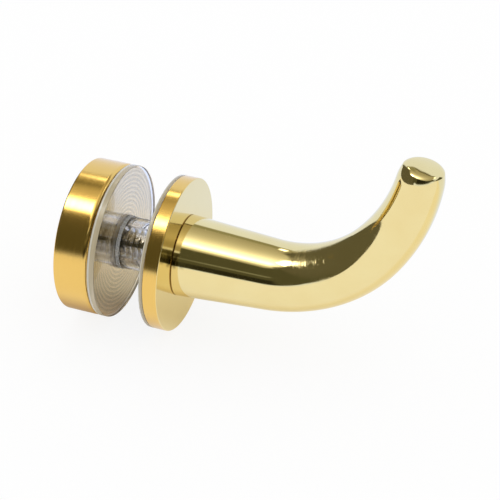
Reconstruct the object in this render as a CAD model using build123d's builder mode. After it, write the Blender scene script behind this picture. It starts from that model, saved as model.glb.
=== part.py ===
from build123d import *
import os
from math import asin, atan, cos, degrees, radians, sin, tan

# Robe hook that clamps through a hole in a glass panel.
# +X points out of the glass along the stud, +Z is up, and the origin is the centre of the front glass face.
# All sizes are in millimetres.

# Discs, gaskets and the glass between them
disc_diameter = 32.0
flange_thickness = 3.0
rear_disc_thickness = 7.2
rear_disc_floor = 1.0
front_gasket_thickness = 0.8
rear_gasket_thickness = 1.6
glass_thickness = 9.5

# Hook rod: a straight run, a bend and an easier bend up to the tip
base_diameter = 17.0
tip_diameter = 9.15
straight_length = 18.1
bend_radius = 26.2
bend_angle = 54.0
upper_bend_radius = 37.5
upper_bend_angle = 28.7

# Blunt tip: a shoulder that draws in, then a crowned end with a rounded edge; slopes in degrees
shoulder_radius = 9.0
shoulder_lean = 22.0
tip_edge_slope = 48.0
tip_edge_radius = 1.7
tip_crown_radius = 14.5

# Stud and sleeve
stud_diameter = 6.35
stud_grip_in_hook = 12.0
stud_chamfer = 0.6
drill_point_angle = 118.0
sleeve_wall = 2.0

# Clearances, each on one side
thread_clearance = 0.05
flange_clearance = 0.2
sleeve_clearance = 0.3
gasket_clearance = 0.2
sleeve_end_clearance = 0.25
stud_end_clearance = 0.5

# Edge breaks
base_chamfer = 0.25
flange_chamfer = 0.2
rear_face_edge_radius = 0.7
rear_back_chamfer = 0.3
gasket_chamfer = 0.15
sleeve_chamfer = 0.25

# Places along the stud axis
front_glass_x = 0.0
flange_back_x = front_glass_x + front_gasket_thickness
flange_front_x = flange_back_x + flange_thickness
rear_glass_x = front_glass_x - glass_thickness
rear_face_x = rear_glass_x - rear_gasket_thickness
rear_back_x = rear_face_x - rear_disc_thickness

# Diameters and depths that follow from the fits
thread_bore = stud_diameter + 2 * thread_clearance
flange_bore = stud_diameter + 2 * flange_clearance
sleeve_bore = stud_diameter + 2 * sleeve_clearance
sleeve_diameter = sleeve_bore + 2 * sleeve_wall
gasket_bore = sleeve_diameter + 2 * gasket_clearance
drill_point = thread_bore / 2 / tan(radians(drill_point_angle / 2))
hook_bore_depth = stud_grip_in_hook + stud_end_clearance
disc_bore_depth = rear_disc_thickness - rear_disc_floor - drill_point
stud_grip_in_disc = disc_bore_depth - stud_end_clearance

# Rod length along its centre line, from the base to the tip's shoulder
bend_length = bend_radius * radians(bend_angle)
upper_bend_length = upper_bend_radius * radians(upper_bend_angle)
rod_length = straight_length + bend_length + upper_bend_length
taper = degrees(atan((base_diameter - tip_diameter) / 2 / rod_length))

# The shoulder follows on from the taper, and the crowned end meets it in an edge
shoulder_length = shoulder_radius * (sin(radians(shoulder_lean)) - sin(radians(taper)))
shoulder_draw = shoulder_radius * (cos(radians(taper)) - cos(radians(shoulder_lean)))
tip_edge_reach = tip_diameter / 2 - shoulder_draw - tip_edge_radius * sin(radians(tip_edge_slope))
crown_sweep = degrees(asin(tip_edge_reach / (tip_crown_radius - tip_edge_radius)))
tip_edge_height = tip_edge_radius * (cos(radians(crown_sweep)) - cos(radians(tip_edge_slope)))
crown_height = tip_crown_radius * (1 - cos(radians(crown_sweep)))
tip_height = shoulder_length + tip_edge_height + crown_height


def rod_radius(distance):
    """Radius of the evenly tapered rod at a distance along its centre line from the base."""
    return (base_diameter + (tip_diameter - base_diameter) * distance / rod_length) / 2


def drilled_bore(mouth_x, depth, direction):
    """Cut a blind tapping bore with a drill point into the current part, from its mouth along X."""
    shoulder_x = mouth_x + direction * depth
    point_x = shoulder_x + direction * drill_point
    with BuildSketch(Plane.XZ) as bore:
        with BuildLine():
            Polyline(
                (mouth_x, 0),
                (mouth_x, thread_bore / 2),
                (shoulder_x, thread_bore / 2),
                (point_x, 0),
                close=True,
            )
        make_face()
    revolve(bore.sketch, axis=Axis.X, mode=Mode.SUBTRACT)


def ring(back_x, thickness, outer_diameter, bore_diameter):
    """Add a flat ring to the current part, centred on the stud axis."""
    with BuildSketch(Plane.YZ.offset(back_x)) as outline:
        Circle(outer_diameter / 2)
        Circle(bore_diameter / 2, mode=Mode.SUBTRACT)
    extrude(outline.sketch, amount=thickness)


def outer_rims(piece):
    """The two widest circles of a round piece, one at each end."""
    return piece.edges().filter_by(GeomType.CIRCLE).group_by(SortBy.RADIUS)[-1]


# Hook: a tapered rod, bent up to a blunt tip
with BuildPart() as hook:
    with BuildLine(Plane.XZ) as centre_line:
        straight = Line((flange_front_x, 0), (flange_front_x + straight_length, 0))
        bend = JernArc(straight @ 1, straight % 1, bend_radius, bend_angle)
        upper_bend = JernArc(bend @ 1, bend % 1, upper_bend_radius, upper_bend_angle)
    with BuildSketch(straight ^ 0):
        Circle(rod_radius(0))
    with BuildSketch(bend ^ 0):
        Circle(rod_radius(straight_length))
    with BuildSketch(upper_bend ^ 0):
        Circle(rod_radius(straight_length + bend_length))
    with BuildSketch(upper_bend ^ 1):
        Circle(rod_radius(rod_length))
    sweep(path=centre_line.line, multisection=True)

    # The tip is turned: the shoulder draws in to the edge of the crowned end
    tip_start = upper_bend @ 1
    tip_direction = upper_bend % 1
    with BuildSketch(Plane(origin=tip_start, x_dir=tip_direction, z_dir=(0, -1, 0))):
        with BuildLine():
            crown = JernArc((tip_height, 0), (0, 1), tip_crown_radius, crown_sweep)
            tip_edge = JernArc(crown @ 1, crown % 1, tip_edge_radius, tip_edge_slope - crown_sweep)
            shoulder_foot = (0, tip_diameter / 2)
            RadiusArc(tip_edge @ 1, shoulder_foot, -shoulder_radius)
            Polyline(shoulder_foot, (0, 0), (tip_height, 0))
        make_face()
    revolve(axis=Axis(tip_start, tip_direction))

    # The base is flat on the flange, with a broken edge and a tapped hole
    chamfer(hook.faces().sort_by(Axis.X)[0].edges(), base_chamfer)
    drilled_bore(flange_front_x, hook_bore_depth, 1)

# Front flange: the polished disc that the hook is screwed down on
with BuildPart() as front_flange:
    ring(flange_back_x, flange_thickness, disc_diameter, flange_bore)
    chamfer(outer_rims(front_flange), flange_chamfer)

# Front gasket: the thin clear ring between the flange and the glass
with BuildPart() as front_gasket:
    ring(front_glass_x, front_gasket_thickness, disc_diameter, gasket_bore)
    chamfer(outer_rims(front_gasket), gasket_chamfer)

# Rear gasket: the thicker clear ring between the rear disc and the glass
with BuildPart() as rear_gasket:
    ring(rear_face_x, rear_gasket_thickness, disc_diameter, gasket_bore)
    chamfer(outer_rims(rear_gasket), gasket_chamfer)

# Rear disc: the thick polished disc that takes the stud's other end
with BuildPart() as rear_disc:
    with BuildSketch(Plane.YZ.offset(rear_back_x)):
        Circle(disc_diameter / 2)
    extrude(amount=rear_disc_thickness)
    fillet(rear_disc.faces().sort_by(Axis.X)[-1].edges(), rear_face_edge_radius)
    chamfer(rear_disc.faces().sort_by(Axis.X)[0].edges(), rear_back_chamfer)
    drilled_bore(rear_face_x, disc_bore_depth, -1)

# Sleeve: the clear tube that keeps the stud off the glass and centres the gaskets
with BuildPart() as sleeve:
    sleeve_back_x = rear_face_x + sleeve_end_clearance
    sleeve_length = flange_back_x - sleeve_end_clearance - sleeve_back_x
    ring(sleeve_back_x, sleeve_length, sleeve_diameter, sleeve_bore)
    chamfer(outer_rims(sleeve), sleeve_chamfer)

# Threaded stud: joins the hook to the rear disc, drawn at its outer thread diameter
with BuildPart() as threaded_stud:
    stud_back_x = rear_face_x - stud_grip_in_disc
    stud_length = flange_front_x + stud_grip_in_hook - stud_back_x
    with BuildSketch(Plane.YZ.offset(stud_back_x)):
        Circle(stud_diameter / 2)
    extrude(amount=stud_length)
    chamfer(outer_rims(threaded_stud), stud_chamfer)

os.makedirs("parts", exist_ok=True)
pieces = {
    "hook": hook,
    "front_flange": front_flange,
    "front_gasket": front_gasket,
    "sleeve": sleeve,
    "threaded_stud": threaded_stud,
    "rear_gasket": rear_gasket,
    "rear_disc": rear_disc,
}
for name, piece in pieces.items():
    piece.part.label = name
    export_step(piece.part, f"parts/{name}.step")
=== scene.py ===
import math
import bmesh
import bpy
from mathutils import Matrix, Vector


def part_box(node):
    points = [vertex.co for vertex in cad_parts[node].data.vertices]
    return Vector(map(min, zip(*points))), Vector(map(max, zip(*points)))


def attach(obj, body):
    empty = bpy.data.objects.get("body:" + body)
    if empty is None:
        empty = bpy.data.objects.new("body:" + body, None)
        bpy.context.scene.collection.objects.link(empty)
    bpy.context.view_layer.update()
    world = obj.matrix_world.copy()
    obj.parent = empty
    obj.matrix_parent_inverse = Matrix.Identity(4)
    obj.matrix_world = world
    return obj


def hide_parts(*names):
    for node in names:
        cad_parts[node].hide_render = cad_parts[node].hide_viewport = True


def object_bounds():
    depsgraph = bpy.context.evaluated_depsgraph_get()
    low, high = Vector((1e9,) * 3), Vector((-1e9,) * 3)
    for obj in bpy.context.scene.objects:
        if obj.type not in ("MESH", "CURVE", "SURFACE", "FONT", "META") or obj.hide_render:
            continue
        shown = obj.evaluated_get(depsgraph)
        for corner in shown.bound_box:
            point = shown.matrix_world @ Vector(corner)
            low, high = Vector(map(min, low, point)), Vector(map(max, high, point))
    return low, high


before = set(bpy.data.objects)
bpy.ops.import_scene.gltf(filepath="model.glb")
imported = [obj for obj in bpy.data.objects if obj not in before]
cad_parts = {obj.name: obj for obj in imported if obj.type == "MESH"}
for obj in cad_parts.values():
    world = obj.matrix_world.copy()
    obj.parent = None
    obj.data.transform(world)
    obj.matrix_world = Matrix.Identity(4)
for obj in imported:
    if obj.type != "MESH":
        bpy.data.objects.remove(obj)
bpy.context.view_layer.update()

MM = 0.001

# Hook rod, in millimetres
HOOK_BASE_RADIUS = 8.5
HOOK_TIP_RADIUS = 4.575
STRAIGHT_LENGTH = 18.1
BEND_RADIUS = 26.2
BEND_ANGLE = math.radians(54)
UPPER_BEND_RADIUS = 37.5
UPPER_BEND_ANGLE = math.radians(28.7)
SHOULDER_RADIUS = 9.0
SHOULDER_LEAN = math.radians(22)
TIP_EDGE_SLOPE = math.radians(48)
TIP_EDGE_RADIUS = 1.7
TIP_CROWN_RADIUS = 14.5
BASE_CHAMFER = 0.15

# Bores and the stud's thread, in millimetres
TAPPED_RADIUS = 3.225
HOOK_BORE_DEPTH = 12.5
DRILL_POINT = TAPPED_RADIUS / math.tan(math.radians(59))
DISC_FLOOR = 1.0
FLANGE_BORE_RADIUS = 3.375
GASKET_BORE_RADIUS = 5.675
SLEEVE_BORE_RADIUS = 3.475
THREAD_PITCH = 1.27
THREAD_DEPTH = 0.78
STUD_CHAMFER = 0.9

# Edge breaks, in millimetres
FLANGE_EDGE = 0.2
REAR_FACE_EDGE = 1.0
REAR_BACK_EDGE = 0.3
GASKET_EDGE = 0.15
SLEEVE_EDGE = 0.25
SLEEVE_LIP = 0.14
SLEEVE_LIP_LENGTH = 0.8
SLEEVE_LIP_EDGE = 0.1

# The clear rings are drawn this much short of the faces that they lie on, in millimetres
FACE_GAP = 0.02

# Mesh settings, in millimetres: a point on the axis, support rings and the length of one UV unit
ON_AXIS = 1e-6
BASE_SUPPORT = 0.05
BACK_CENTRE_RING = 1.0
UV_LENGTH = 100.0

# Support rings on the tip, as shares of their arcs
SHOULDER_SUPPORT = 0.99
TIP_EDGE_SUPPORT = 0.02

# Edges that bend more are sharp, and points closer than this, in metres, are one
SHARP_ANGLE = math.radians(32)
MERGE_DISTANCE = 1e-8


# Mesh helpers

def make_piece(name, verts, faces):
    """A smooth-shaded mesh object from points in millimetres, with its sharp edges kept."""
    mesh = bpy.data.meshes.new(name)
    mesh.from_pydata([tuple(c * MM for c in v) for v in verts], [], faces)
    mesh.polygons.foreach_set("use_smooth", [True] * len(mesh.polygons))
    mesh.set_sharp_from_angle(angle=SHARP_ANGLE)
    mesh.update()
    obj = bpy.data.objects.new(name, mesh)
    bpy.context.scene.collection.objects.link(obj)
    return obj


def rounded_profile(corners, steps=8, support=0.06):
    """Profile points from (x, r, edge radius) corners. Support points hold each rounded edge."""
    points = []
    for i, (x, r, radius) in enumerate(corners):
        corner = Vector((x, r))
        if radius == 0:
            points.append((x, r))
            continue
        back = (Vector(corners[i - 1][:2]) - corner).normalized()
        on = (Vector(corners[(i + 1) % len(corners)][:2]) - corner).normalized()
        half = back.angle(on) / 2
        reach = radius / math.tan(half)
        centre = corner + (back + on).normalized() * (radius / math.sin(half))
        start = corner + back * reach - centre
        end = corner + on * reach - centre
        points.append(tuple(centre + start + back * support))
        turn = start.angle_signed(end)
        for k in range(steps + 1):
            a = -turn * k / steps
            c, s = math.cos(a), math.sin(a)
            offset = (start.x * c - start.y * s, start.x * s + start.y * c)
            points.append((centre.x + offset[0], centre.y + offset[1]))
        points.append(tuple(centre + end + on * support))
    return points


def lathe(name, profile, segments=256, closed=True):
    """Turn a profile of (x, r) points about the X axis. An open one starts and ends on the axis."""
    verts, faces, rings = [], [], []
    for x, r in profile:
        if r < ON_AXIS:
            rings.append([len(verts)] * segments)
            verts.append((x, 0, 0))
            continue
        rings.append(list(range(len(verts), len(verts) + segments)))
        for j in range(segments):
            a = 2 * math.pi * j / segments
            verts.append((x, r * math.cos(a), r * math.sin(a)))
    pairs = list(zip(rings, rings[1:]))
    if closed:
        pairs.append((rings[-1], rings[0]))
    for lower, upper in pairs:
        for j in range(segments):
            k = (j + 1) % segments
            face = [lower[j], lower[k], upper[k], upper[j]]
            faces.append(list(dict.fromkeys(face)))
    return make_piece(name, verts, faces)


def node_span(node):
    """(back x, front x, outer radius) of a round CAD node on the stud's axis, in millimetres."""
    low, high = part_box(node)
    return low.x / MM, high.x / MM, high.y / MM


# Hook: rings swept along the centre line, a turned tip and the tapped hole in the base

flange_back, flange_front, disc_radius = node_span("front_flange")
rear_back, rear_face, _ = node_span("rear_disc")

BEND_LENGTH = BEND_RADIUS * BEND_ANGLE
UPPER_BEND_LENGTH = UPPER_BEND_RADIUS * UPPER_BEND_ANGLE
BENT_LENGTH = STRAIGHT_LENGTH + BEND_LENGTH + UPPER_BEND_LENGTH
TAPER = math.atan((HOOK_BASE_RADIUS - HOOK_TIP_RADIUS) / BENT_LENGTH)


def rod_radius(distance):
    """Radius of the evenly tapered rod at a distance from its base."""
    return HOOK_BASE_RADIUS + (HOOK_TIP_RADIUS - HOOK_BASE_RADIUS) * distance / BENT_LENGTH


def centre_line(distance):
    """(x, z, heading) of the rod's centre line at a distance from its base."""
    x, z, heading = flange_front, 0.0, 0.0
    run = min(distance, STRAIGHT_LENGTH)
    x += run
    for radius, length in ((BEND_RADIUS, BEND_LENGTH), (UPPER_BEND_RADIUS, UPPER_BEND_LENGTH)):
        distance -= run
        run = min(max(distance, 0.0), length)
        turn = run / radius
        x += radius * (math.sin(heading + turn) - math.sin(heading))
        z += radius * (math.cos(heading) - math.cos(heading + turn))
        heading += turn
    return x, z, heading


def tip_profile():
    """(offset, radius) points of the turned tip: the shoulder, an edge and the crowned end."""
    points, x, r = [], 0.0, HOOK_TIP_RADIUS
    rim = HOOK_TIP_RADIUS - SHOULDER_RADIUS * (math.cos(TAPER) - math.cos(SHOULDER_LEAN))
    reach = rim - TIP_EDGE_RADIUS * math.sin(TIP_EDGE_SLOPE)
    sweep = math.asin(reach / (TIP_CROWN_RADIUS - TIP_EDGE_RADIUS))
    arcs = (
        (SHOULDER_RADIUS, math.pi / 2 - TAPER, math.pi / 2 - SHOULDER_LEAN, 16),
        (TIP_EDGE_RADIUS, TIP_EDGE_SLOPE, sweep, 16),
        (TIP_CROWN_RADIUS, sweep, 0.0, 20),
    )
    for radius, start, end, steps in arcs:
        stops = [k / steps for k in range(1, steps + 1)]
        if radius == TIP_EDGE_RADIUS:
            stops.insert(0, TIP_EDGE_SUPPORT)
        if radius == SHOULDER_RADIUS:
            stops.insert(-1, SHOULDER_SUPPORT)
        for k in stops:
            a = start + (end - start) * k
            forward = radius * (math.cos(a) - math.cos(start))
            inward = radius * (math.sin(start) - math.sin(a))
            points.append((x + forward, r - inward))
        x, r = points[-1]
    points[-1] = (x, 0.0)
    return points


def build_hook(segments=192, step=0.35):
    """The rod with its bore, and UVs of the share of a turn and the length along the surface."""
    bore = (
        (HOOK_BORE_DEPTH + DRILL_POINT, 0),
        (HOOK_BORE_DEPTH, TAPPED_RADIUS),
        (0, TAPPED_RADIUS),
    )
    rings = [(flange_front + x, 0.0, 0.0, r) for x, r in bore]
    for inset in (BASE_SUPPORT, 0.0):
        rings.append((flange_front, 0.0, 0.0, HOOK_BASE_RADIUS - BASE_CHAMFER - inset))
    count = round((BENT_LENGTH - BASE_CHAMFER) / step)
    for i in range(count + 1):
        s = BASE_CHAMFER + (BENT_LENGTH - BASE_CHAMFER) * i / count
        x, z, heading = centre_line(s)
        rings.append((x, z, heading, rod_radius(s)))
    x, z, heading = centre_line(BENT_LENGTH)
    for offset, r in tip_profile():
        rings.append((x + offset * math.cos(heading), z + offset * math.sin(heading), heading, r))
    verts, faces, rows = [], [], []
    for x, z, heading, r in rings:
        if r < ON_AXIS:
            rows.append([len(verts)] * segments)
            verts.append((x, 0, z))
            continue
        rows.append(list(range(len(verts), len(verts) + segments)))
        for j in range(segments):
            a = 2 * math.pi * j / segments
            up = r * math.cos(a)
            verts.append((x - up * math.sin(heading), r * math.sin(a), z + up * math.cos(heading)))
    along = [0.0]
    for (x0, z0, _, r0), (x1, z1, _, r1) in zip(rings, rings[1:]):
        along.append(along[-1] + math.dist((x0, z0, r0), (x1, z1, r1)) / UV_LENGTH)
    around = []
    for i, (lower, upper) in enumerate(zip(rows, rows[1:])):
        for j in range(segments):
            k = (j + 1) % segments
            corners = {
                lower[k]: ((j + 1) / segments, along[i]),
                lower[j]: (j / segments, along[i]),
                upper[j]: (j / segments, along[i + 1]),
                upper[k]: ((j + 1) / segments, along[i + 1]),
            }
            faces.append(list(corners))
            around.extend(corners.values())
    rod = make_piece("hook_rod", verts, faces)
    layer = rod.data.uv_layers.new(name="round_and_along")
    layer.uv.foreach_set("vector", [c for pair in around for c in pair])
    return rod


# Stud: a rolled thread as one helical sheet, run out into chamfered ends

def thread_shape():
    """(offset, depth) points of one turn of the thread: crest, flank, root, flank."""
    crest_end = THREAD_PITCH / 8
    root_start = THREAD_PITCH * (0.5 - 1 / 16)
    root_end = root_start + THREAD_PITCH / 4
    stops = ((0.0, 0.0), (crest_end, 0.0), (root_start, 1.0), (root_end, 1.0), (THREAD_PITCH, 0.0))
    shape = []
    for (x0, d0), (x1, d1) in zip(stops, stops[1:]):
        parts = 2 if d0 == d1 else 4
        for k in range(parts):
            shape.append((x0 + (x1 - x0) * k / parts, THREAD_DEPTH * (d0 + (d1 - d0) * k / parts)))
    return shape


def build_stud(segments=72):
    """The thread as one closed shell that ends where the CAD stud does."""
    back, front, crest = node_span("threaded_stud")
    shape = thread_shape()
    turns = math.ceil((front - back) / THREAD_PITCH) + 2
    verts, rows = [], []
    for t in range(-1, turns):
        for offset, depth in shape:
            rows.append(list(range(len(verts), len(verts) + segments)))
            for j in range(segments):
                a = 2 * math.pi * j / segments
                x = min(max(back + THREAD_PITCH * (t + j / segments) + offset, back), front)
                run_out = crest - STUD_CHAMFER + min(x - back, front - x)
                r = min(crest - depth, run_out)
                verts.append((x, r * math.cos(a), r * math.sin(a)))
    faces = []
    for i, (row, above) in enumerate(zip(rows, rows[1:])):
        for j in range(segments - 1):
            faces.append([row[j], row[j + 1], above[j + 1], above[j]])
        if i + 1 + len(shape) < len(rows):
            faces.append([row[-1], rows[i + len(shape)][0], rows[i + 1 + len(shape)][0], above[-1]])
    stud = make_piece("stud_thread", verts, faces)
    shell = bmesh.new()
    shell.from_mesh(stud.data)
    bmesh.ops.remove_doubles(shell, verts=shell.verts, dist=MERGE_DISTANCE)
    bmesh.ops.dissolve_degenerate(shell, edges=shell.edges, dist=MERGE_DISTANCE)
    bmesh.ops.holes_fill(shell, edges=shell.edges)
    bmesh.ops.recalc_face_normals(shell, faces=shell.faces)
    shell.to_mesh(stud.data)
    shell.free()
    return stud


# The pieces, each in the place of its CAD node

hook_rod = build_hook()
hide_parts("hook")

flange = lathe("flange_disc", rounded_profile([
    (flange_back, FLANGE_BORE_RADIUS, 0),
    (flange_back, disc_radius, FLANGE_EDGE),
    (flange_front, disc_radius, FLANGE_EDGE),
    (flange_front, FLANGE_BORE_RADIUS, 0),
]), segments=320)
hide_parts("front_flange")


def gasket(name, node):
    """A clear ring in the place of a CAD node."""
    back, front, radius = node_span(node)
    back += FACE_GAP
    front -= FACE_GAP
    obj = lathe(name, rounded_profile([
        (back, GASKET_BORE_RADIUS, 0),
        (back, radius, GASKET_EDGE),
        (front, radius, GASKET_EDGE),
        (front, GASKET_BORE_RADIUS, 0),
    ], steps=5, support=0.03), segments=256)
    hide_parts(node)
    return obj


front_gasket = gasket("front_washer", "front_gasket")
rear_gasket = gasket("rear_washer", "rear_gasket")

bore_depth = rear_face - rear_back - DISC_FLOOR - DRILL_POINT
rear_disc = lathe("rear_clamp_disc", [(rear_back, 0)] + rounded_profile([
    (rear_back, BACK_CENTRE_RING, 0),
    (rear_back, disc_radius, REAR_BACK_EDGE),
    (rear_face, disc_radius, REAR_FACE_EDGE),
    (rear_face, TAPPED_RADIUS, 0),
    (rear_face - bore_depth, TAPPED_RADIUS, 0),
]) + [(rear_face - bore_depth - DRILL_POINT, 0)], segments=320, closed=False)
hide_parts("rear_disc")

sleeve_back, sleeve_front, sleeve_radius = node_span("sleeve")
lip_back = node_span("rear_gasket")[1] + FACE_GAP
sleeve = lathe("sleeve_tube", rounded_profile([
    (sleeve_back, SLEEVE_BORE_RADIUS, 0),
    (sleeve_back, sleeve_radius, SLEEVE_EDGE),
    (lip_back, sleeve_radius, 0),
    (lip_back, sleeve_radius + SLEEVE_LIP, SLEEVE_LIP_EDGE),
    (lip_back + SLEEVE_LIP_LENGTH, sleeve_radius + SLEEVE_LIP, SLEEVE_LIP_EDGE),
    (lip_back + SLEEVE_LIP_LENGTH, sleeve_radius, 0),
    (sleeve_front, sleeve_radius, SLEEVE_EDGE),
    (sleeve_front, SLEEVE_BORE_RADIUS, 0),
], steps=5, support=0.03), segments=160)
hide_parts("sleeve")

stud = build_stud()
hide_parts("threaded_stud")

for piece, slot in (
    (hook_rod, "polished_brass"),
    (flange, "polished_brass"),
    (rear_disc, "polished_brass"),
    (front_gasket, "clear_vinyl"),
    (rear_gasket, "clear_vinyl"),
    (sleeve, "clear_vinyl"),
    (stud, "zinc_steel"),
):
    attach(piece, "root")


# Shader helpers

class Shader:
    """Adds nodes to one tree. An input that is a socket is linked, and any other is set."""

    def __init__(self, tree):
        self.tree = tree
        tree.nodes.clear()

    def node(self, kind, values=(), **settings):
        node = self.tree.nodes.new(kind)
        for key, value in settings.items():
            setattr(node, key, value)
        pairs = values.items() if isinstance(values, dict) else enumerate(values)
        for key, value in pairs:
            if isinstance(value, bpy.types.NodeSocket):
                self.tree.links.new(value, node.inputs[key])
            else:
                node.inputs[key].default_value = value
        return node

    def add(self, kind, values=(), out=0, **settings):
        return self.node(kind, values, **settings).outputs[out]

    def math(self, operation, *values):
        return self.add("ShaderNodeMath", values, operation=operation)

    def mix(self, factor, a, b, blend="MIX"):
        inputs = {0: factor, 6: rgba(a), 7: rgba(b)}
        return self.add("ShaderNodeMix", inputs, out=2, data_type="RGBA", blend_type=blend)

    def ease(self, value, low, high, start=0.0, end=1.0):
        """A smooth step of the value from low to high."""
        inputs = (value, low, high, start, end)
        return self.add("ShaderNodeMapRange", inputs, interpolation_type="SMOOTHSTEP")

    def noise(self, vector, scale, detail=2.0):
        inputs = {"Vector": vector, "Scale": scale, "Detail": detail}
        return self.add("ShaderNodeTexNoise", inputs)

    def stretch(self, vector, scale):
        return self.add("ShaderNodeVectorMath", {0: vector, 1: scale}, operation="MULTIPLY")

    def bump(self, height, depth, normal=None):
        inputs = {"Height": height, "Strength": 1.0, "Distance": depth}
        if normal is not None:
            inputs["Normal"] = normal
        return self.add("ShaderNodeBump", inputs)


def rgba(colour):
    return colour if isinstance(colour, bpy.types.NodeSocket) else (*colour, 1.0)


def new_material(name):
    material = bpy.data.materials.new(name)
    material.use_nodes = True
    return material, Shader(material.node_tree)


def close(shader, surface):
    shader.node("ShaderNodeOutputMaterial", {"Surface": surface})


# Materials

PALE_BRASS = (0.86, 0.70, 0.32)
PALE_BRASS_WORN = (0.84, 0.675, 0.295)
GOLD_BRASS = (0.88, 0.57, 0.15)
GOLD_BRASS_WORN = (0.86, 0.54, 0.135)
# Brown of the dirt and painted shade in the crease at the hook's base
DIRT_AND_SHADE_BROWN = (0.22, 0.13, 0.04)
STAIN_BROWN = (0.10, 0.065, 0.02)
VINYL_IOR = 1.45

# Places on the hook and lengths, in metres
STAIN_AT = (0.0051, -0.0075, 0.0034)
BUFFED_AT = (0.0318, -0.0029, 0.0088)
RING_PITCH = 0.0009
RING_WANDER = 0.0006

# Bump depths, in metres
WAVE_DEPTH = 12e-6
MARK_DEPTH = 36e-6
LINE_DEPTH = 0.12e-6
RING_DEPTH = 2.5e-6
CLOUD_DEPTH = 1.5e-6
RIM_GRAIN_DEPTH = 1e-6
CUT_DEPTH = 2e-6
SPOT_DEPTH = 1e-6


def hook_brass():
    """Mirror polish: slow waves, a haze, buffing marks inside the bend and stains at the base."""
    material, s = new_material("hook_brass")
    place = s.add("ShaderNodeTexCoord", out="Object")
    round_and_along = s.add("ShaderNodeUVMap", uv_map="round_and_along")

    def near(point, inner, outer):
        away = s.add("ShaderNodeVectorMath", {0: place, 1: point}, out=1, operation="DISTANCE")
        return s.ease(away, inner, outer, 1.0, 0.0)

    colour = s.mix(s.noise(place, 170.0), (0.88, 0.735, 0.35), (0.84, 0.665, 0.285))
    from_base = s.add("ShaderNodeSeparateXYZ", (place,), out=0)
    # Dirt and painted shade darken the crease where the hook's base meets the flange
    crease_dirt_and_shade = s.ease(from_base, (flange_front + 0.08) * MM, (flange_front + 0.3) * MM, 0.85, 0.0)
    colour = s.mix(crease_dirt_and_shade, colour, DIRT_AND_SHADE_BROWN)
    stains = s.ease(s.noise(place, 480.0, detail=1.0), 0.40, 0.58)
    stains = s.math("MULTIPLY", stains, near(STAIN_AT, 0.0006, 0.0021))
    colour = s.mix(stains, colour, STAIN_BROWN)
    haze = s.noise(place, 900.0, detail=3.0)
    buffed = near(BUFFED_AT, 0.0032, 0.0064)
    rough = s.math("ADD", s.ease(haze, 0.3, 0.8, 0.05, 0.10), s.math("MULTIPLY", buffed, 0.07))
    waves = s.bump(s.noise(place, 140.0, detail=0.0), WAVE_DEPTH)
    hairs = s.noise(s.stretch(round_and_along, (16.0, 640.0, 0.0)), 1.0, detail=1.0)
    peel = s.noise(place, 1000.0, detail=1.0)
    marks = s.math("MULTIPLY", s.math("MULTIPLY_ADD", peel, 0.35, hairs), buffed)
    normal = s.bump(marks, MARK_DEPTH, waves)
    surface = s.add("ShaderNodeBsdfPrincipled", {
        "Base Color": colour, "Metallic": 1.0, "Roughness": rough, "Normal": normal})
    close(s, surface)
    return material


def disc_brass(name, colour, worn, polish):
    """Polished turned brass: fine lines run round the rim."""
    material, s = new_material(name)
    place = s.add("ShaderNodeTexCoord", out="Object")
    patches = s.noise(place, 220.0)
    lines = s.noise(s.stretch(place, (5200.0, 90.0, 90.0)), 1.0, detail=2.0)
    rough = s.ease(lines, 0.3, 0.8, *polish)
    colour = s.mix(patches, colour, worn)
    normal = s.bump(lines, LINE_DEPTH)
    surface = s.add("ShaderNodeBsdfPrincipled", {
        "Base Color": colour, "Metallic": 1.0, "Roughness": rough, "Normal": normal})
    close(s, surface)
    return material


def turned_face():
    """Turned brass under the clear ring: the tool left broad and fine rings."""
    material, s = new_material("turned_face")
    place = s.add("ShaderNodeTexCoord", out="Object")
    flat = s.stretch(place, (0.0, 1.0, 1.0))
    radius = s.add("ShaderNodeVectorMath", {0: flat}, out=1, operation="LENGTH")
    wander = s.math("MULTIPLY", s.noise(place, 90.0), RING_WANDER)
    turns = s.math("DIVIDE", s.math("ADD", radius, wander), RING_PITCH / (2 * math.pi))
    broad = s.ease(s.math("SINE", turns), -0.7, 1.0)
    fine = s.noise(s.add("ShaderNodeCombineXYZ", {0: radius}), 2400.0, detail=2.0)
    rings = s.math("MULTIPLY_ADD", fine, 0.35, s.math("MULTIPLY", broad, 0.65))
    colour = s.mix(rings, (0.61, 0.46, 0.22), (0.97, 0.775, 0.43))
    rough = s.ease(rings, 0.1, 0.9, 0.13, 0.23)
    normal = s.bump(rings, RING_DEPTH)
    surface = s.add("ShaderNodeBsdfPrincipled", {
        "Base Color": colour, "Metallic": 1.0, "Roughness": rough, "Normal": normal})
    close(s, surface)
    return material


def clear_vinyl(name, colour, worn):
    """Clear moulded vinyl, a little cloudy."""
    material, s = new_material(name)
    place = s.add("ShaderNodeTexCoord", out="Object")
    cloud = s.noise(place, 350.0, detail=3.0)
    colour = s.mix(cloud, colour, worn)
    rough = s.ease(cloud, 0.3, 0.8, 0.01, 0.05)
    normal = s.bump(cloud, CLOUD_DEPTH)
    surface = s.add("ShaderNodeBsdfPrincipled", {
        "Base Color": colour, "Roughness": rough, "IOR": VINYL_IOR,
        "Transmission Weight": 1.0, "Normal": normal})
    close(s, surface)
    return material


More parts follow.
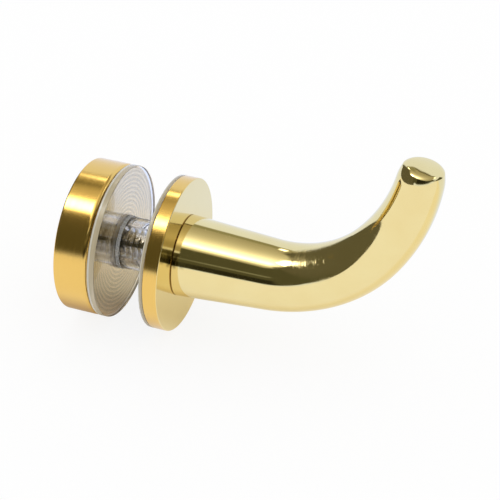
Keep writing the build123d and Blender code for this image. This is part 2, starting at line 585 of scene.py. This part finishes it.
def vinyl_rim():
    """Outer edge of the clear rings: half clear, with painted shade along its back edge and a
    painted highlight line beside it.
    """
    material, s = new_material("vinyl_rim")
    place = s.add("ShaderNodeTexCoord", out="Object")
    across = s.add("ShaderNodeSeparateXYZ", (s.add("ShaderNodeTexCoord", out="Generated"),), out=0)
    grain = s.noise(s.stretch(place, (2600.0, 160.0, 160.0)), 1.0, detail=2.0)
    body = s.mix(grain, (0.62, 0.52, 0.33), (0.84, 0.72, 0.49))
    # A painted highlight: a pale line across the edge, a little in from the back
    highlight_line = s.math("MULTIPLY", s.ease(across, 0.08, 0.18), s.ease(across, 0.26, 0.42, 1.0, 0.0))
    colour = s.mix(highlight_line, body, (1.0, 0.97, 0.82))
    # Painted shade: dark along the back edge of the ring
    colour = s.mix(s.ease(across, 0.05, 0.13, 1.0, 0.0), colour, (0.16, 0.10, 0.04))
    rough = s.ease(grain, 0.3, 0.7, 0.12, 0.26)
    surface = s.add("ShaderNodeBsdfPrincipled", {
        "Base Color": colour, "Roughness": rough, "IOR": VINYL_IOR,
        "Transmission Weight": 0.45, "Normal": s.bump(grain, RIM_GRAIN_DEPTH)})
    close(s, surface)
    return material


def cut_vinyl(name, light, shade, clear):
    """A cut face of the clear pieces, which the blade left matt."""
    material, s = new_material(name)
    place = s.add("ShaderNodeTexCoord", out="Object")
    grain = s.noise(place, 1500.0, detail=2.0)
    colour = s.mix(grain, light, shade)
    rough = s.ease(grain, 0.3, 0.7, 0.2, 0.4)
    surface = s.add("ShaderNodeBsdfPrincipled", {
        "Base Color": colour, "Roughness": rough, "IOR": VINYL_IOR,
        "Transmission Weight": clear, "Normal": s.bump(grain, CUT_DEPTH)})
    close(s, surface)
    return material


def zinc_steel():
    """Bright zinc with faint spots, on the thread."""
    material, s = new_material("zinc_steel")
    place = s.add("ShaderNodeTexCoord", out="Object")
    spots = s.noise(place, 700.0, detail=3.0)
    colour = s.mix(spots, (0.77, 0.735, 0.66), (0.61, 0.58, 0.515))
    rough = s.ease(spots, 0.3, 0.7, 0.14, 0.22)
    surface = s.add("ShaderNodeBsdfPrincipled", {
        "Base Color": colour, "Metallic": 1.0, "Roughness": rough,
        "Normal": s.bump(spots, SPOT_DEPTH)})
    close(s, surface)
    return material


def dress(obj, *materials):
    for material in materials:
        obj.data.materials.append(material)


def paint(obj, slot, chosen):
    """Give a material slot to each face that the test chooses."""
    for polygon in obj.data.polygons:
        if chosen(polygon):
            polygon.material_index = slot


def axis_distance(face):
    """Distance of a face's middle from the stud's axis, in millimetres."""
    return math.hypot(face.center.y, face.center.z) / MM


def is_edge(face):
    """True for a face of a clear ring that isn't on one of its two flat sides."""
    return abs(face.normal.x) < 0.9


face_brass = disc_brass("face_brass", PALE_BRASS, PALE_BRASS_WORN, (0.06, 0.14))
rim_brass = disc_brass("rim_brass", GOLD_BRASS, GOLD_BRASS_WORN, (0.14, 0.21))
vinyl = clear_vinyl("clear_vinyl", (0.99, 0.985, 0.97), (0.96, 0.96, 0.94))
grey_vinyl = clear_vinyl("grey_vinyl", (0.90, 0.92, 0.97), (0.82, 0.84, 0.89))
# Painted highlight: a pale, half-clear cut face that makes the sleeve's ends and lip show bright
painted_highlight_cut = cut_vinyl("painted_highlight_cut", (1.0, 1.0, 0.97), (0.88, 0.88, 0.85), 0.55)
# Dirt and painted shade darken the bore walls of the clear rings
bore_dirt_and_shade = cut_vinyl("bore_dirt_and_shade", (0.46, 0.42, 0.34), (0.30, 0.27, 0.21), 0.3)
rim = vinyl_rim()

dress(hook_rod, hook_brass())
dress(stud, zinc_steel())
dress(flange, face_brass, rim_brass)
paint(flange, 1, lambda face: abs(face.normal.x) < 0.5)
dress(rear_disc, rim_brass, turned_face())
paint(rear_disc, 1, lambda face: face.normal.x > 0.95)

lip_start = sleeve_radius + SLEEVE_LIP / 2
dress(sleeve, grey_vinyl, painted_highlight_cut)
# The sleeve's ends and the lip on it get the painted highlight
paint(sleeve, 1, lambda face: abs(face.normal.x) > 0.3 or axis_distance(face) > lip_start)

for piece in (front_gasket, rear_gasket):
    dress(piece, vinyl, rim, bore_dirt_and_shade)
    paint(piece, 1, is_edge)
    # The bore walls get the dirt and painted shade
    paint(piece, 2, lambda face: is_edge(face) and axis_distance(face) < disc_radius / 2)


# Studio: a pale floor, and surroundings that the polished metal mirrors

BACK_WHITE = (0.87, 0.97, 1.25)
OVERHEAD = (0.43, 0.41, 0.32)
BACK_LINE = (0.13, 0.12, 0.07)
BACK_SHADE = (0.30, 0.30, 0.20)
SIDE_DARK = (0.12, 0.115, 0.08)
FRONT_DARK = (0.085, 0.085, 0.05)
BLACK = (0.025, 0.024, 0.013)
FRONT_LINE = (0.23, 0.24, 0.20)
WHITE = (1.0, 1.0, 1.0)
LAMP = (8.0, 8.0, 8.0)
LEFT_OPENING = (4.0, 4.0, 4.0)
RIGHT_OPENING = (3.0, 3.0, 3.0)
CLEAR_TINT = (1.12, 1.0, 0.80)


def surroundings(s):
    """What the metal mirrors: a white back, a lamp overhead in front and a dark front and left.

    Places are angles in degrees: the turn from the left over the back, and the height from level.
    """
    direction = s.add("ShaderNodeTexCoord", out="Generated")
    split = s.node("ShaderNodeSeparateXYZ", (direction,)).outputs
    up = s.math("DEGREES", s.math("ARCSINE", split[2]))
    turn = s.math("DEGREES", s.math("ARCTAN2", split[1], s.math("MULTIPLY", split[0], -1.0)))

    def window(value, low, high, soft_low, soft_high):
        rise = s.ease(value, low - soft_low / 2, low + soft_low / 2)
        fall = s.ease(value, high - soft_high / 2, high + soft_high / 2, 1.0, 0.0)
        return s.math("MULTIPLY", rise, fall)

    def patch(under, colour, turns, ups, soft_turn=(4.0, 4.0), soft_up=(3.0, 3.0), height=up):
        mask = s.math("MULTIPLY", window(turn, *turns, *soft_turn), window(height, *ups, *soft_up))
        return s.mix(mask, under, colour)

    def glow(under, at_turn, at_up, peak, spread, cut):
        """Add a lobe of light that fades with the angle and is cut off below."""
        t, u = math.radians(at_turn), math.radians(at_up)
        aim = (-math.cos(u) * math.cos(t), math.cos(u) * math.sin(t), math.sin(u))
        facing = s.add("ShaderNodeVectorMath", (direction, aim), out=1, operation="DOT_PRODUCT")
        away = s.math("DEGREES", s.math("ARCCOSINE", facing))
        light = s.math("MULTIPLY", s.math("EXPONENT", s.math("DIVIDE", away, -spread)), peak)
        light = s.math("MULTIPLY", light, s.ease(up, *cut))
        colour = s.add("ShaderNodeCombineColor", (light, light, light))
        return s.mix(1.0, under, colour, "ADD")

    # The white back ends in an edge that rises to the right, with a dark line over it
    over_edge = s.math("SUBTRACT", up, s.ease(turn, 76.0, 92.0, 41.0, 48.0))
    view = s.mix(s.ease(over_edge, -2.0, 2.0), BACK_WHITE, OVERHEAD)
    view = patch(view, BACK_LINE, (78.0, 130.0), (0.5, 3.5), (8.0, 10.0), (2.0, 3.0), over_edge)
    view = patch(view, BACK_SHADE, (52.0, 82.0), (1.5, 11.0), (6.0, 6.0), (3.0, 5.0), over_edge)
    # The lamp: a bright panel, and the haze round it
    view = glow(view, -70.0, 64.0, 3.4, 13.0, (50.0, 66.0))
    view = patch(view, LAMP, (-46.0, -13.0), (57.5, 68.0), (3.0, 22.0), (2.5, 6.0))
    # The dark front and left
    under_top = s.math("SUBTRACT", up, s.ease(turn, -28.0, 4.0, 56.5, 61.0))
    view = patch(view, SIDE_DARK, (-68.0, 47.0), (-70.0, 0.0), (4.0, 10.0), (3.0, 6.0), under_top)
    over_floor = s.math("SUBTRACT", up, s.ease(turn, -84.0, -70.0, 0.0, 2.4))
    view = patch(view, FRONT_DARK, (-98.0, -60.0), (0.0, 49.5), (4.0, 8.0), height=over_floor)
    view = patch(view, FRONT_DARK, (-140.0, -97.0), (0.0, 36.0), (8.0, 4.0), height=over_floor)
    view = patch(view, FRONT_DARK, (-190.0, -138.0), (0.5, 47.0), (4.0, 4.0))
    view = patch(view, FRONT_DARK, (140.0, 190.0), (4.5, 33.0), (6.0, 4.0))
    view = patch(view, BLACK, (-140.0, -79.0), (2.0, 14.0), (10.0, 3.0))
    view = patch(view, FRONT_LINE, (-140.0, -79.0), (22.0, 25.5), soft_up=(2.0, 2.0))
    # Small bright openings behind
    view = patch(view, LEFT_OPENING, (56.0, 66.0), (46.0, 52.0))
    view = patch(view, RIGHT_OPENING, (138.0, 156.0), (47.0, 51.0))
    return view


def ray_kinds(s):
    """Masks for rays from the camera, rays off polished pieces and rays through clear ones."""
    path = s.node("ShaderNodeLightPath").outputs
    return path["Is Camera Ray"], path["Is Glossy Ray"], path["Is Transmission Ray"]


def build_world():
    """White to the camera and as light, and the surroundings to what mirrors or lets through."""
    world = bpy.data.worlds.new("studio")
    world.use_nodes = True
    s = Shader(world.node_tree)
    camera_ray, mirror_ray, clear_ray = ray_kinds(s)
    view = surroundings(s)
    view = s.mix(clear_ray, view, s.mix(1.0, view, CLEAR_TINT, "MULTIPLY"))
    colour = s.mix(s.math("MAXIMUM", mirror_ray, clear_ray), WHITE, view)
    colour = s.mix(camera_ray, colour, WHITE)
    background = s.add("ShaderNodeBackground", {"Color": colour, "Strength": 1.0})
    s.node("ShaderNodeOutputWorld", {"Surface": background})
    bpy.context.scene.world = world


# Floor: places in metres, and the shares of its white that glow
FLOOR_LEFT = -0.28
FLOOR_REACH = 0.75
NEAR_DEPTHS = (-0.012, 0.0)
FAR_DEPTHS = (0.006, 0.045)
CONTACT_SIDES = ((-0.030, -0.022), (-0.010, 0.006))
CONTACT_DEPTHS = ((-0.020, -0.008), (-0.002, 0.006))
CAMERA_GLOW = 0.86
FRONT_GLOW = 0.85
NEAR_GLOW = 0.35
FAR_GLOW = 0.95
CLEAR_GLOW = 0.34
FLOOR_WHITE = (0.97, 0.97, 0.97)
FRONT_TINT = (1.0, 1.03, 1.15)
# Painted warm light bounced off the brass onto the floor near the pieces, as the metal mirrors it
NEAR_BRASS_BOUNCE = (1.0, 0.94, 0.74)
# Painted contact shade on the floor that the discs mirror
CONTACT_SHADE = (0.45, 0.36, 0.25)


def build_floor():
    """White floor under the discs. Part of its white is glow, so the shadow on it stays faint."""
    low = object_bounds()[0].z
    mesh = bpy.data.meshes.new("floor")
    corners = (
        (FLOOR_LEFT, -FLOOR_REACH, low),
        (FLOOR_REACH, -FLOOR_REACH, low),
        (FLOOR_REACH, FLOOR_REACH, low),
        (FLOOR_LEFT, FLOOR_REACH, low),
    )
    mesh.from_pydata(corners, [], [(0, 1, 2, 3)])
    floor = bpy.data.objects.new("floor", mesh)
    bpy.context.scene.collection.objects.link(floor)
    material, s = new_material("white_floor")
    camera_ray, mirror_ray, clear_ray = ray_kinds(s)
    lit = s.add("ShaderNodeBsdfDiffuse", {"Color": rgba(FLOOR_WHITE)})
    place = s.add("ShaderNodeTexCoord", out="Object")
    split = s.node("ShaderNodeSeparateXYZ", (place,)).outputs
    side, depth = split[0], split[1]
    behind = s.ease(depth, *NEAR_DEPTHS)
    far_side = s.ease(depth, *FAR_DEPTHS)
    # The floor that the metal mirrors: cool in front and far off, with a painted warm bounce off
    # the brass near the pieces
    mirrored_light_and_shade = s.mix(far_side, s.mix(behind, FRONT_TINT, NEAR_BRASS_BOUNCE), BACK_WHITE)
    # Painted contact shade: the floor that the discs mirror turns brown where they stand
    contact_shade_spans = [
        s.math("MULTIPLY", s.ease(value, *rise), s.ease(value, *fall, 1.0, 0.0))
        for value, (rise, fall) in ((side, CONTACT_SIDES), (depth, CONTACT_DEPTHS))
    ]
    mirrored_light_and_shade = s.mix(s.math("MULTIPLY", *contact_shade_spans), mirrored_light_and_shade, CONTACT_SHADE)
    glow = s.add("ShaderNodeEmission", {"Color": s.mix(mirror_ray, WHITE, mirrored_light_and_shade), "Strength": 1.0})
    mirror_share = s.math("MULTIPLY_ADD", behind, NEAR_GLOW - FRONT_GLOW, FRONT_GLOW)
    mirror_share = s.math("MULTIPLY_ADD", far_side, FAR_GLOW - NEAR_GLOW, mirror_share)
    share = s.math("MULTIPLY", camera_ray, CAMERA_GLOW)
    share = s.math("MAXIMUM", share, s.math("MULTIPLY", mirror_ray, mirror_share))
    share = s.math("MAXIMUM", share, s.math("MULTIPLY", clear_ray, CLEAR_GLOW))
    close(s, s.add("ShaderNodeMixShader", (share, lit, glow)))
    mesh.materials.append(material)


build_world()
build_floor()

# Camera at the photograph's angle
camera_data = bpy.data.cameras.new("camera")
camera_data.sensor_width = 36.0
camera_data.lens = 93.05
camera_data.clip_start = 0.01
camera = bpy.data.objects.new("camera", camera_data)
bpy.context.scene.collection.objects.link(camera)
camera.matrix_world = Matrix((
    (0.9455, -0.2072, 0.2513, 0.082568),
    (0.3244, 0.5300, -0.7836, -0.202568),
    (0.0292, 0.8223, 0.5683, 0.151605),
    (0.0, 0.0, 0.0, 1.0),
))
bpy.context.scene.camera = camera

bpy.context.scene.view_settings.view_transform = "Standard"
